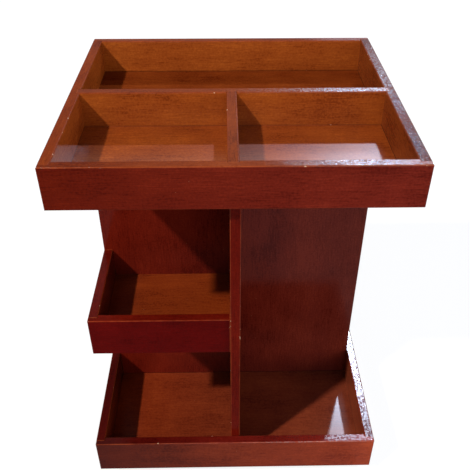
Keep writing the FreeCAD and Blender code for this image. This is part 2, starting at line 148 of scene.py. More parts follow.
class WoodSettings(PropertyGroup):
    """Sizes and colours of the lacquered boards."""
    top_outer: colour("Top outer", "Lacquered colour of the top tray's outer faces", 104, 25, 7)
    top_rim: colour("Top rim", "Lacquered colour of the top tray's upper edges", 116, 44, 12)
    top_inner: colour("Top inner", "Thinner stain inside the top tray", 152, 72, 25)
    top_floor: colour("Top floor", "Stain of the top tray's floor", 136, 60, 18)
    shelf_outer: colour("Shelf outer", "Lacquered colour of the shelf trays' outer faces", 84, 5, 4)
    shelf_rim: colour("Shelf rim", "Lacquered colour of the shelf trays' upper edges", 92, 15, 6)
    shelf_inner: colour("Shelf inner", "Stain inside the shelf trays", 112, 34, 16)
    shelf_floor: colour("Shelf floor", "Stain of the shelf trays' floors", 120, 44, 12)
    base_outer: colour("Base outer", "Lacquered colour of the base tray's outer faces", 104, 31, 11)
    base_rim: colour("Base rim", "Lacquered colour of the base tray's upper edges", 84, 14, 7)
    base_inner: colour("Base inner", "Stain inside the base tray", 116, 42, 16)
    base_floor: colour("Base floor", "Stain of the base tray's floor", 116, 38, 11)
    panel: colour("Panel stain", "Stain of the wide panel across the middle", 103, 22, 9)
    spine: colour("Spine stain", "Stain of the panel that runs from front to back", 91, 15, 6)
    bare: colour("Bare wood", "Wood that shows where the lacquer is chipped", 214, 176, 140)
    # The rubbed edge colour is partly wear and partly a painted highlight where the rounded edges catch the
    # light.
    rubbed: colour("Rubbed edge", "Colour of an edge where the stain is rubbed thin", 186, 88, 46)
    rounding: length("Edge rounding", "How much further a bevelled edge is rounded", 0.3)
    fibre: length("Fibre size", "Width of the wood's fibres", 0.8)
    figure: length("Figure size", "Width of the broad figure in the grain", 18)
    peel: length("Peel size", "Width of the ripples in the lacquer", 2.0)
    peel_height: length("Peel height", "Height of the ripples in the lacquer", 0.05)
    # How much painted highlight and wear each edge gets.
    wear: share("Edge wear", "How much of each edge is rubbed", 0.55)
    gloss_low: share("Smooth lacquer", "Roughness where the lacquer is smoothest", 0.05)
    gloss_high: share("Dull lacquer", "Roughness where the lacquer is dullest", 0.13)


class TurntableSettings(PropertyGroup):
    """Sizes and colours of the ball turntable."""
    zinc: colour("Zinc", "Colour of the pressed plates", 178, 184, 192)
    screw: colour("Screw zinc", "Colour of the screws", 196, 190, 172)
    ball: colour("Ball steel", "Colour of the bearing balls", 205, 208, 212)
    cage: colour("Cage", "Colour of the ball cage", 214, 206, 186)
    rubber: colour("Rubber", "Colour of the feet", 34, 33, 35)
    base: colour("Foot board", "Painted colour of the round foot board", 62, 22, 14)
    balls: IntProperty(name="Balls", description="Number of balls on the track", min=3, default=8)
    track: length("Track radius", "Radius of the circle of balls", 50)
    screw_square: length("Screw square", "Side of the square of screws", 127)
    head_radius: length("Head radius", "Radius of a screw head", 3)
    head_height: length("Head height", "Height of a screw head", 1.6)
    shank_radius: length("Shank radius", "Radius of a screw shank", 1.5)
    feet: IntProperty(name="Feet", description="Number of rubber feet", min=3, default=4)
    foot_circle: length("Foot circle", "Radius of the circle of feet", 94)
    foot_radius: length("Foot radius", "Radius of a foot where it is stuck on", 9)


class StageSettings(PropertyGroup):
    """Camera, lamps and floor."""
    lens: FloatProperty(name="Lens", description="Focal length", unit="CAMERA", default=48.70)
    eye: FloatVectorProperty(name="Eye", description="Where the camera stands", unit="LENGTH", size=3,
                             default=(-0.00725, -0.5540, 0.6483))
    turn: bearing("Turn", "Camera turned to the right", 0.0195)
    tilt: bearing("Tilt", "Camera tilted down", 0.6535)
    roll: bearing("Roll", "Camera rolled", -0.0024)
    key: strength("Key", "Strength of the key lamp", 3.0)
    low_card: strength("Low card", "Power of the low cool card behind", 0.6)
    high_card: strength("High card", "Power of the high cool card behind", 1.5)
    warm_card: strength("Warm card", "Power of the warm card behind", 0.7)
    side: strength("Side", "Power of the soft lamp on the right", 15)
    bays: strength("Bays", "Power of the lamp that fills the bays", 7)
    window: strength("Window", "Strength of the light from behind", 2.2)
    fill: strength("Fill", "Strength of the light from all round", 0.20)


# ---------------------------------------------------------------- node trees


class Wiring:
    """Adds nodes to a tree in tidy columns and joins their sockets."""

    COLUMN, ROW, ROWS = 200, -240, 5

    def __init__(self, tree):
        self.tree = tree
        self.count = 0

    def node(self, kind, inputs=None, **settings):
        """Adds a node. A socket given as an input is joined, anything else is a value."""
        node = self.tree.nodes.new(kind)
        node.location = (self.COLUMN * (self.count // self.ROWS), self.ROW * (self.count % self.ROWS))
        self.count += 1
        for key, value in settings.items():
            setattr(node, key, value)
        for key, value in (inputs or {}).items():
            if isinstance(value, bpy.types.NodeSocket):
                self.tree.links.new(value, node.inputs[key])
            else:
                node.inputs[key].default_value = value
        return node

    def math(self, operation, *values, clamp=False):
        """A Math node's result."""
        node = self.node("ShaderNodeMath", dict(enumerate(values)), operation=operation)
        node.use_clamp = clamp
        return node.outputs[0]

    def total(self, *parts):
        """The sum of some levels, each times its share."""
        products = [self.math("MULTIPLY", level, part) for level, part in parts]
        whole = products[0]
        for product in products[1:]:
            whole = self.math("ADD", whole, product)
        return whole

    def span(self, value, low, high, to_low=0.0, to_high=1.0):
        """Value from low to high, spread over another range and held inside it."""
        levels = {"Value": value, "From Min": low, "From Max": high, "To Min": to_low, "To Max": to_high}
        return self.node("ShaderNodeMapRange", levels).outputs["Result"]

    def noise(self, vector, scale=1.0, detail=2.0, rough=0.5):
        """Smooth noise, 0 to 1."""
        levels = {"Vector": vector, "Scale": scale, "Detail": detail, "Roughness": rough}
        return self.node("ShaderNodeTexNoise", levels).outputs["Fac"]

    def spread(self, value):
        """Noise, which keeps near its middle, spread over 0 to 1."""
        return self.span(value, 0.3, 0.7)

    def vector(self, operation, first, second):
        """A Vector Math node's result."""
        return self.node("ShaderNodeVectorMath", {0: first, 1: second}, operation=operation).outputs[0]

    def blend(self, factor, first, second, how="MIX"):
        """Two colours mixed."""
        node = self.node("ShaderNodeMix", data_type="RGBA", blend_type=how)
        for key, value in ((MIX_FACTOR, factor), (MIX_FIRST, first), (MIX_SECOND, second)):
            if isinstance(value, bpy.types.NodeSocket):
                self.tree.links.new(value, node.inputs[key])
            elif key == MIX_FACTOR:
                node.inputs[key].default_value = value
            else:
                node.inputs[key].default_value = (*value, 1)
        return node.outputs[MIX_RESULT]

    def group(self, maker, inputs):
        """The outputs of a shared node group."""
        return self.node("ShaderNodeGroup", inputs, node_tree=shared(maker)).outputs

    def send(self, sink, results):
        """Joins results, by name, to a group's output node."""
        for name, value in results.items():
            self.tree.links.new(value, sink.inputs[name])


def new_group(name, kind, inputs, outputs):
    """A bare node group with named sockets. Returns its wiring, its inputs and its output node."""
    group = bpy.data.node_groups.new(name, kind)
    for label, socket, default in inputs:
        made = group.interface.new_socket(label, in_out="INPUT", socket_type=socket)
        if default is not None:
            made.default_value = default
    for label, socket in outputs:
        group.interface.new_socket(label, in_out="OUTPUT", socket_type=socket)
    wiring = Wiring(group)
    source = wiring.node("NodeGroupInput")
    sink = group.nodes.new("NodeGroupOutput")
    return wiring, source.outputs, sink


NUMBER, VECTOR, GEOMETRY = "NodeSocketFloat", "NodeSocketVector", "NodeSocketGeometry"


def grain_group():
    """Wood grain along X: fine fibres, a broad figure and short dark pores."""
    w, given, sink = new_group(
        "Wood grain", "ShaderNodeTree",
        [("Vector", VECTOR, None), ("Fibre", NUMBER, 0.8 * MM), ("Figure", NUMBER, 18 * MM)],
        [("Fibres", NUMBER), ("Figure", NUMBER), ("Pores", NUMBER)])
    bends, sway = (9, 30, 30), 12 * MM
    swing = w.noise(w.vector("MULTIPLY", given["Vector"], bends), detail=2)
    drift = w.node("ShaderNodeCombineXYZ", {"Y": w.math("MULTIPLY", swing, sway)}).outputs[0]
    place = w.vector("ADD", given["Vector"], drift)

    def streaks(width, times, **look):
        """Noise of a width, stretched so many times along the grain."""
        run = w.math("MULTIPLY", width, times)
        size = w.node("ShaderNodeCombineXYZ", {"X": run, "Y": width, "Z": width})
        return w.noise(w.vector("DIVIDE", place, size.outputs[0]), **look)

    fibres = streaks(given["Fibre"], 22, detail=5, rough=0.62)
    figure = streaks(given["Figure"], 5, detail=3, rough=0.5)
    pores = w.span(streaks(w.math("MULTIPLY", given["Fibre"], 0.55), 34, detail=1, rough=0.4), 0.62, 0.72)
    w.send(sink, {"Fibres": w.spread(fibres), "Figure": w.spread(figure), "Pores": pores})
    return w.tree


def lacquer_group():
    """A lacquer film: its ripples, uneven clouds of colour and specks of dust set in it."""
    w, given, sink = new_group(
        "Lacquer film", "ShaderNodeTree",
        [("Vector", VECTOR, None), ("Peel", NUMBER, 2 * MM), ("Cloud", NUMBER, 50 * MM)],
        [("Peel", NUMBER), ("Clouds", NUMBER), ("Specks", NUMBER)])
    dust_cells, dust_share = 110.0, 0.2
    ripple = w.noise(given["Vector"], w.math("DIVIDE", 1.0, given["Peel"]), detail=2, rough=0.55)
    clouds = w.noise(given["Vector"], w.math("DIVIDE", 1.0, given["Cloud"]), detail=4, rough=0.55)
    dots = w.node("ShaderNodeTexVoronoi", {"Vector": given["Vector"], "Scale": dust_cells})
    chance = w.node("ShaderNodeSeparateColor", {"Color": dots.outputs["Color"]}).outputs[0]
    near = w.span(dots.outputs["Distance"], 0.035, 0.02)
    specks = w.math("MULTIPLY", near, w.math("GREATER_THAN", chance, 1 - dust_share))
    w.send(sink, {"Peel": ripple, "Clouds": w.spread(clouds), "Specks": specks})
    return w.tree


def edge_group():
    """Marks along the edges of a board whose middle and half size are given: rubbed wear that is also a
    painted highlight where the edges catch the light, and chips.
    """
    w, given, sink = new_group(
        "Edge wear", "ShaderNodeTree",
        [("Vector", VECTOR, None), ("Middle", VECTOR, None), ("Half size", VECTOR, None),
         ("Wear", NUMBER, 0.5)],
        [("Rubbed", NUMBER), ("Chips", NUMBER)])
    offset = w.vector("SUBTRACT", given["Vector"], given["Middle"])
    depth = w.vector("SUBTRACT", given["Half size"], w.vector("ABSOLUTE", offset, (0, 0, 0)))
    parts = w.node("ShaderNodeSeparateXYZ", {0: depth}).outputs
    least = w.math("MINIMUM", parts[0], parts[1])
    most = w.math("MAXIMUM", parts[0], parts[1])
    from_edge = w.math("MAXIMUM", least, w.math("MINIMUM", most, parts[2]))
    patches = w.noise(given["Vector"], 60.0, detail=3, rough=0.6)
    grit = w.noise(given["Vector"], 700.0, detail=2, rough=0.6)
    uneven = w.span(w.total((patches, 0.7), (grit, 0.3)), 0.62, 0.38)
    even = w.math("ADD", w.math("MULTIPLY", uneven, 0.7), 0.3)
    close = w.span(from_edge, 1.0 * MM, 0.2 * MM)
    rubbed = w.math("MULTIPLY", close, w.math("MULTIPLY", even, given["Wear"]))
    nick = w.span(w.noise(given["Vector"], 260.0, detail=1, rough=0.4), 0.735, 0.76)
    chips = w.math("MULTIPLY", nick, w.span(from_edge, 1.0 * MM, 0.7 * MM))
    w.send(sink, {"Rubbed": rubbed, "Chips": chips})
    return w.tree


def scuff_group():
    """Fine scratches and smears on metal, plastic or rubber."""
    w, given, sink = new_group(
        "Scuffs", "ShaderNodeTree",
        [("Vector", VECTOR, None), ("Size", NUMBER, 4 * MM)],
        [("Smears", NUMBER), ("Scratches", NUMBER), ("Grit", NUMBER)])
    slant, stretch, grit_share = (0.3, 0.2, 0.7), (1, 18, 18), 9.0
    scale = w.math("DIVIDE", 1.0, given["Size"])
    smears = w.noise(given["Vector"], scale, detail=4, rough=0.6)
    turned = w.node("ShaderNodeMapping", {"Vector": given["Vector"], "Rotation": slant, "Scale": stretch})
    lines = w.noise(turned.outputs[0], scale, detail=2, rough=0.5)
    grit = w.noise(given["Vector"], w.math("MULTIPLY", scale, grit_share), detail=3, rough=0.6)
    w.send(sink, {"Smears": w.spread(smears), "Scratches": w.span(lines, 0.60, 0.70), "Grit": grit})
    return w.tree


GROUPS = {}


def shared(maker):
    """A node group, made the first time it is asked for."""
    if maker.__name__ not in GROUPS:
        GROUPS[maker.__name__] = maker()
    return GROUPS[maker.__name__]


def new_material(name):
    """An empty material. Returns it, its wiring and its object coordinates."""
    material = bpy.data.materials.new(name)
    material.use_nodes = True
    material.node_tree.nodes.clear()
    w = Wiring(material.node_tree)
    return material, w, w.node("ShaderNodeTexCoord").outputs["Object"]


def finish_material(w, surface, **sockets):
    """Puts the Principled shader and the output in place. The surface wins over the plain sockets."""
    plain = {name.replace("_", " "): value for name, value in sockets.items()}
    shader = w.node("ShaderNodeBsdfPrincipled", {**plain, **surface})
    w.node("ShaderNodeOutputMaterial", {"Surface": shader.outputs[0]})


# Finishes of the boards, as plain values on the shader's sockets.
BRIGHT = {"IOR": 1.38, "Specular_IOR_Level": 0.30}
WORN = {"IOR": 1.38, "Specular_IOR_Level": 0.10}
SATIN = {**BRIGHT, "Coat_Roughness": 0.27, "Coat_IOR": 2.05}
GLINT = {**WORN, "Coat_Roughness": 0.23, "Coat_IOR": 1.85}
SPARK = {**WORN, "Coat_Roughness": 0.15, "Coat_IOR": 1.55}
SOFT = {"Specular_IOR_Level": 0.0, "Coat_Weight": 1.0, "Coat_Roughness": 0.27, "Coat_IOR": 1.55}
DEEP = {**SOFT, "Coat_IOR": 1.85}

# Colours that a board's stain is multiplied by: none; darker; darker again as painted shade; and lighter,
# with far more green and blue, as a painted haze of reflected light.
EVEN, DIM, SHADED, HAZED = (1.0, 1.0, 1.0), (0.62, 0.58, 0.80), (0.6, 0.5, 0.6), (1.2, 1.7, 3.0)

# How the walls of the two big trays differ from one another.
TOP_LOOK = {
    # The front's fade paints light: darker at the left, and lighter and bluer at the right as a painted
    # haze.
    "front": {"ripple": 8.0, "gloss": GLINT, "bare_end": ("X", 0.02, 0.08),
              "fade": ((0.86, 0.80, 0.90), (1.12, 1.50, 3.6))},
    "back": {},
    "left": {"gloss": WORN},
    "right": {"ripple": 9.0, "gloss": SPARK, "bare_end": ("Y", 0.15, 0.05), "fade": (DIM, DIM)},
}
BASE_LOOK = {
    # The front's fade paints light: dark at the left, and lighter and bluer at the right as a painted haze.
    # The left wall is darkened with painted shade, and the right wall is lightened with a painted haze.
    "front": {"gloss": SATIN, "bare_end": ("X", 0.0, 0.06), "fade": ((0.50, 0.40, 0.50), (2.0, 2.5, 3.0))},
    "back": {"gloss": SATIN},
    "left": {"gloss": WORN, "fade": (SHADED, SHADED)},
    "right": {"gloss": SATIN, "fade": (HAZED, HAZED)},
}


def board_shades(w, grain, film):
    """How unevenly the stain took, as colours that multiply it."""
    contrast = 1.35
    mottle = w.span(film["Peel"], 0.35, 0.65)
    tone = w.total((mottle, 0.18), (grain["Figure"], 0.22), (film["Clouds"], 0.28), (grain["Fibres"], 0.32),
                   (grain["Pores"], -0.16))
    level = w.span(tone, 0.5 - 0.5 / contrast, 0.5 + 0.5 / contrast)
    shades = w.node("ShaderNodeValToRGB", {"Fac": level})
    ramp = shades.color_ramp
    ramp.interpolation = "EASE"
    dark, light = ramp.elements
    dark.position, light.position = 0.12, 0.86
    dark.color, light.color = (0.58, 0.44, 0.48, 1), (1.34, 1.52, 1.40, 1)
    ramp.elements.new(0.5).color = WHITE
    return shades.outputs["Color"]


def board_coat(w, gloss, rim, place, spot, bare_end):
    """How much coat there is: what the gloss says, or on the rim only and thin between fine specks."""
    coat = gloss.get("Coat_Weight")
    if coat is None:
        specks = w.span(w.noise(place, 620.0, detail=1.0), 0.45, 0.56, 0.12, 1.0)
        coat = w.math("MULTIPLY", rim, specks)
    if bare_end:
        axis, start, full = bare_end
        coat = w.math("MULTIPLY", coat, w.span(spot[axis], start, full))
    return coat


def board_material(label, node, along, stains, seed, settings, figure=1.0, ripple=3.5,
                   fade=(EVEN, EVEN), across=None, gloss=BRIGHT, bare_end=None, seam=None):
    """Stained and lacquered wood whose grain runs along one axis. Stains are outer, inner and rim colours.

    figure    how many times broader the grain's figure is than the settings say
    ripple    how many times higher the ripples are on the rim
    fade      what the stain is multiplied by at the board's left and at its right; on most boards it paints light, shade and haze across the board
    across    an axis and two places along it, between which the fade runs instead
    gloss     one of the finishes above
    bare_end  an axis, and the places along it where the coat starts and where it is full
    seam      the height of a floor that the board stands on, where its inner face is darkened with painted shade along the crease
    """
    outer, inner, rim_stain = stains
    end_grain, crease_shade = (0.035, 0.006, 0.004), (0.020, 0.004, 0.003)
    low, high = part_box(node)
    material, w, place = new_material(label + ".lacquer")
    shift = (seed * 1.37, seed * 0.71, seed * 0.43)
    turned = w.node("ShaderNodeMapping", {"Vector": place, "Rotation": GRAIN_TURN[along],
                                          "Location": shift}).outputs[0]
    grain = w.group(grain_group, {"Vector": turned, "Fibre": settings.fibre,
                                  "Figure": settings.figure * figure})
    film = w.group(lacquer_group, {"Vector": turned, "Peel": settings.peel})
    edge = w.group(edge_group, {"Vector": place, "Middle": (low + high) / 2, "Half size": (high - low) / 2,
                                "Wear": settings.wear})
    inside, rim, ends = (w.node("ShaderNodeAttribute", attribute_name=name).outputs["Fac"]
                         for name in MARKS)
    spot = w.node("ShaderNodeSeparateXYZ", {"Vector": place}).outputs

    stain = w.blend(rim, w.blend(inside, outer, inner), rim_stain)
    axis, start, end = across or ("X", low.x, high.x)
    stain = w.blend(1.0, stain, w.blend(w.span(spot[axis], start, end), *fade), "MULTIPLY")
    body = w.blend(1.0, stain, board_shades(w, grain, film), "MULTIPLY")
    body = w.blend(w.math("MULTIPLY", ends, 0.45), body, end_grain)
    # Painted shade: the inner face darkens in a thin band just above the floor, along the crease.
    if seam is not None:
        crease_shade_mask = w.span(spot["Z"], seam + 1.5 * MM, seam + 0.4 * MM, 0.0, 0.6)
        body = w.blend(w.math("MULTIPLY", inside, crease_shade_mask), body, crease_shade)
    # Painted highlight and wear: a lighter colour along every edge.
    body = w.blend(edge["Rubbed"], body, settings.rubbed)
    bare = w.math("MAXIMUM", edge["Chips"], w.math("MULTIPLY", film["Specks"], 0.35))
    body = w.blend(bare, body, settings.bare)

    rough = w.span(film["Clouds"], 0.0, 1.0, settings.gloss_high, settings.gloss_low)
    rough = w.math("ADD", rough, w.math("MULTIPLY", bare, 0.3), clamp=True)
    height = w.total((film["Peel"], w.span(rim, 0, 1, 1.0, ripple)), (grain["Fibres"], 0.12),
                     (grain["Pores"], -0.10), (edge["Chips"], -1.5))
    bump = w.node("ShaderNodeBump", {"Height": height, "Strength": 1.0, "Distance": settings.peel_height})
    surface = {"Base Color": body, "Roughness": rough, "Normal": bump.outputs[0]}
    if "Coat_IOR" in gloss:
        surface["Coat Weight"] = board_coat(w, gloss, rim, place, spot, bare_end)
    finish_material(w, surface, **gloss)
    return material


# ---------------------------------------------------------------- mesh work


def merged(node):
    """A copy of a solid's mesh with its loose triangles joined and its flat faces made whole."""
    form = bmesh.new()
    form.from_mesh(frame["nodes"][node].data)
    bmesh.ops.remove_doubles(form, verts=form.verts, dist=WELD)
    bmesh.ops.dissolve_limit(form, angle_limit=FLAT, use_dissolve_boundaries=False,
                             verts=form.verts, edges=form.edges)
    return form


def rounded(form, offset, low=30, high=62):
    """Rounds the edges between two angles in degrees, by default those where a bevel meets a face."""
    low, high = math.radians(low), math.radians(high)
    edges = [edge for edge in form.edges
             if len(edge.link_faces) == 2 and low < edge.calc_face_angle(0) < high]
    if edges:
        bmesh.ops.bevel(form, geom=edges, offset=offset, offset_type="OFFSET", segments=2, profile=0.6,
                        affect="EDGES", clamp_overlap=True)
    return form


def mesh_of(form, name):
    """A mesh from mesh work in hand, which ends there."""
    mesh = bpy.data.meshes.new(name)
    form.to_mesh(mesh)
    form.free()
    return mesh


def placed(name, mesh, material=None):
    """A new object at the origin that shows a mesh."""
    piece = bpy.data.objects.new(name, mesh)
    bpy.context.scene.collection.objects.link(piece)
    if material is not None:
        mesh.materials.clear()
        mesh.materials.append(material)
    return piece


def baked(piece):
    """Makes a piece's modifiers part of its mesh and removes them."""
    bpy.context.view_layer.update()
    mesh = bpy.data.meshes.new_from_object(piece.evaluated_get(bpy.context.evaluated_depsgraph_get()))
    old = piece.data
    piece.modifiers.clear()
    piece.data = mesh
    mesh.name = piece.name
    if old.users == 0:
        bpy.data.meshes.remove(old)
    return piece


def smooth_faces(piece, angle=SHARP):
    """Shades the faces smoothly, with crisp edges past an angle and flat faces kept flat."""
    mesh = piece.data
    mesh.polygons.foreach_set("use_smooth", [True] * len(mesh.polygons))
    mesh.set_sharp_from_angle(angle=angle)
    even = piece.modifiers.new("Even normals", "WEIGHTED_NORMAL")
    even.keep_sharp = True
    even.weight = 100
    return baked(piece)


def crisp_flats(piece):
    """Shades flat faces dead flat and lets only the narrow rounded strips between them bend the light."""
    mesh = piece.data
    mesh.polygons.foreach_set("use_smooth", [True] * len(mesh.polygons))
    mesh.set_sharp_from_angle(angle=SHARP)
    square = {face.index: max(abs(part) for part in face.normal) > FLAT_SHARE for face in mesh.polygons}
    around = {}
    for face in mesh.polygons:
        for vertex in face.vertices:
            around.setdefault(vertex, []).append(face)
    normals = [None] * len(mesh.loops)
    for face in mesh.polygons:
        for loop, vertex in zip(face.loop_indices, face.vertices):
            if square[face.index]:
                normals[loop] = face.normal
                continue
            near = [other for other in around[vertex] if other.normal.dot(face.normal) > math.cos(SHARP)]
            flats = [other for other in near if square[other.index]] or near
            normals[loop] = sum((other.normal for other in flats), Vector()).normalized()
    mesh.normals_split_custom_set(normals)
    return piece


def stand_in(piece, body, slot, *nodes):
    """A finished piece rides on its body and stands for its solids."""
    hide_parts(*nodes)
    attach(piece, body)
    return piece


def mark_faces(piece, centre, along, both=False):
    """Marks which faces look into a tray, which are top edges and which are end grain."""
    mesh = piece.data
    for name in MARKS:
        mesh.attributes.new(name, "FLOAT", "FACE")
    marks = [mesh.attributes[name] for name in MARKS]
    for face in mesh.polygons:
        normal = face.normal
        sideways = Vector((normal.x, normal.y, 0))
        inward = Vector((centre[0] - face.center.x, centre[1] - face.center.y, 0))
        inside = sideways.length > WALL_SHARE and (both or sideways.dot(inward) > 0)
        rim = normal.z > RIM_SHARE and face.center.z > centre[2]
        end = abs(normal.dot(AXES[along])) > END_SHARE
        for mark, found in zip(marks, (inside, rim, end)):
            mark.data[face.index].value = 1.0 if found else 0.0


def keep_inside(form, node):
    """Holds every corner of a form within the box of the solid that it dresses."""
    low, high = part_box(node)
    for corner in form.verts:
        corner.co = [min(max(corner.co[axis], low[axis]), high[axis]) for axis in range(3)]


def dressed_board(node, along, centre, stains, seed, settings, both=False, **look):
    """A board rounded along its edges, in stained and lacquered wood."""
    form = rounded(merged(node), settings.rounding)
    keep_inside(form, node)
    label = node.replace("_board", "").replace("_panel", "") + ".wood"
    mesh = mesh_of(form, label)
    piece = placed(label, mesh, board_material(label, node, along, stains, seed, settings, **look))
    crisp_flats(piece)
    mark_faces(piece, centre, along, both)
    solid = frame["nodes"][node]
    stand_in(piece, solid["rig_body"], solid.data.materials[0].name.split(".")[0], node)


def tray_centre(*nodes):
    """The middle of a tray made of these boards."""
    boxes = [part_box(node) for node in nodes]
    low = Vector([min(box[0][axis] for box in boxes) for axis in range(3)])
    high = Vector([max(box[1][axis] for box in boxes) for axis in range(3)])
    return (low + high) / 2


# ---------------------------------------------------------------- the wooden pieces


class ORGANISER_OT_top_tray(Operator):
    """The wide top tray: four walls, a floor and two dividers"""
    bl_idname = "organiser.top_tray"
    bl_label = "Top tray"

    def execute(self, context):
        wood = context.scene.organiser_wood
        walls = (wood.top_outer, wood.top_inner, wood.top_rim)
        centre = tray_centre("top_front_board", "top_back_board")
        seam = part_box("top_floor_board")[1].z
        for seed, (side, along) in enumerate(WALLS):
            dressed_board(f"top_{side}_board", along, centre, walls, 1.3 + seed, wood, seam=seam,
                          **TOP_LOOK[side])
        dressed_board("long_divider", "X", centre, walls, 5.9, wood, both=True, seam=seam, gloss=SATIN,
                      bare_end=("X", -0.01, 0.10))
        dressed_board("short_divider", "Y", centre, walls, 6.4, wood, both=True, seam=seam)
        floor = (wood.top_outer, wood.top_floor, wood.top_floor)
        front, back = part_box("long_divider")
        # Painted shadow: the fade darkens the floor behind the long divider.
        dressed_board("top_floor_board", "X", centre - FAR_BELOW, floor, 7.7, wood, figure=1.3, gloss=SOFT,
                      fade=(EVEN, (0.60, 0.54, 0.66)), across=("Y", front.y, back.y),
                      bare_end=("Y", 0.01, -0.01))
        return {"FINISHED"}


class ORGANISER_OT_base_tray(Operator):
    """The base tray: four walls and a floor"""
    bl_idname = "organiser.base_tray"
    bl_label = "Base tray"

    def execute(self, context):
        wood = context.scene.organiser_wood
        walls = (wood.base_outer, wood.base_inner, wood.base_rim)
        centre = tray_centre("base_front_board", "base_back_board")
        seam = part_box("base_floor_board")[1].z
        for seed, (side, along) in enumerate(WALLS):
            dressed_board(f"base_{side}_board", along, centre, walls, 11.2 + seed, wood, seam=seam,
                          **BASE_LOOK[side])
        floor = (wood.base_outer, wood.base_floor, wood.base_floor)
        # The fade paints a bluish haze of reflected light over the floor's right side.
        dressed_board("base_floor_board", "X", centre - FAR_BELOW, floor, 16.1, wood, figure=1.3,
                      gloss=DEEP, fade=(EVEN, (0.95, 1.5, 3.2)), bare_end=("X", -0.14, 0.0))
        return {"FINISHED"}


class ORGANISER_OT_core(Operator):
    """The two panels that cross in the middle and carry the top tray"""
    bl_idname = "organiser.core"
    bl_label = "Crossed panels"

    def execute(self, context):
        wood = context.scene.organiser_wood
        panel, spine = (wood.panel,) * 3, (wood.spine,) * 3
        centre = tray_centre("cross_panel")
        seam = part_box("base_floor_board")[1].z
        # The fade paints a bluish haze of reflected light over the panel's right side.
        dressed_board("cross_panel", "Z", centre, panel, 21.5, wood, both=True, seam=seam, figure=2.0,
                      fade=(EVEN, (0.95, 1.9, 3.2)))
        dressed_board("spine_panel", "Z", centre, spine, 23.8, wood, both=True, seam=seam, figure=2.0,
                      gloss=WORN)
        return {"FINISHED"}


class ORGANISER_OT_shelf_trays(Operator):
    """The two small shelf trays, one in front on the left and its twin behind on the right"""
    bl_idname = "organiser.shelf_trays"
    bl_label = "Shelf trays"

    def execute(self, context):
        wood = context.scene.organiser_wood
        walls = (wood.shelf_outer, wood.shelf_inner, wood.shelf_rim)
        floor = (wood.shelf_outer, wood.shelf_floor, wood.shelf_floor)
        for seed, shelf in ((31.4, "front_shelf"), (36.6, "rear_shelf")):
            centre = tray_centre(f"{shelf}_front_board", f"{shelf}_side_board")
            dressed_board(f"{shelf}_front_board", "X", centre, walls, seed, wood, gloss=WORN)
            dressed_board(f"{shelf}_side_board", "Y", centre, walls, seed + 1, wood)
            dressed_board(f"{shelf}_floor_board", "X", centre - FAR_BELOW, floor, seed + 2, wood,
                          figure=1.3, gloss=SOFT)
        return {"FINISHED"}


# ---------------------------------------------------------------- the turntable


def scaled(tint, factor):
    """A colour made lighter or darker."""
    return tuple(part * factor for part in tint)


def metal_material(name, tint, rough_low, rough_high, spangle=0.0):
    """Plated steel with smears, fine scratches and, on sheet, the flowers of the zinc."""
    material, w, place = new_material(name)
    scratch_tint, flowers = (0.85, 0.85, 0.83), 260.0
    scuffs = w.group(scuff_group, {"Vector": place, "Size": 6 * MM})
    cells = w.node("ShaderNodeTexVoronoi", {"Vector": place, "Scale": flowers})
    flower = w.node("ShaderNodeSeparateColor", {"Color": cells.outputs["Color"]}).outputs[0]
    level = w.total((flower, spangle), (scuffs["Smears"], 1 - spangle))
    body = w.blend(w.span(level, 0, 1, 0.0, 0.6), tint, scaled(tint, 0.55))
    body = w.blend(w.math("MULTIPLY", scuffs["Scratches"], 0.35), body, scratch_tint)
    rough = w.span(level, 0, 1, rough_low, rough_high)
    height = w.math("SUBTRACT", w.math("MULTIPLY", scuffs["Grit"], 0.4), scuffs["Scratches"])
    bump = w.node("ShaderNodeBump", {"Height": height, "Strength": 0.6, "Distance": 0.02 * MM})
    finish_material(w, {"Base Color": body, "Roughness": rough, "Normal": bump.outputs[0]}, Metallic=1.0)
    return material


def plain_material(name, tint, shade, rough, depth, size):
    """Plastic, rubber or paint: a colour in clouds with a shade of it, grit in the surface and scuffs."""
    material, w, place = new_material(name)
    scuffs = w.group(scuff_group, {"Vector": place, "Size": size})
    body = w.blend(scuffs["Smears"], tint, scaled(tint, shade))
    roughness = w.span(scuffs["Smears"], 0, 1, rough - 0.08, rough + 0.1)
    height = w.math("ADD", scuffs["Grit"], w.math("MULTIPLY", scuffs["Scratches"], -0.5))
    bump = w.node("ShaderNodeBump", {"Height": height, "Strength": 0.7, "Distance": depth})
    finish_material(w, {"Base Color": body, "Roughness": roughness, "Normal": bump.outputs[0]})
    return material


def rounded_copy(node, name, material, offset, low=60, high=120):
    """A solid's mesh made whole, with its crisp edges rounded."""
    form = rounded(merged(node), offset, low, high)
    return smooth_faces(placed(name, mesh_of(form, name), material), math.radians(40))


def repeated(name, group, values, material):
    """Runs a Geometry Nodes tree with its inputs set by name, and keeps the result as a plain mesh."""
    piece = placed(name, bpy.data.meshes.new(name))
    modifier = piece.modifiers.new(name, "NODES")
    modifier.node_group = group
    items = group.interface.items_tree
    sockets = {item.name: item.identifier for item in items if item.item_type == "SOCKET"}
    for key, value in {**values, "Material": material}.items():
        modifier[sockets[key]] = value
    return baked(piece)


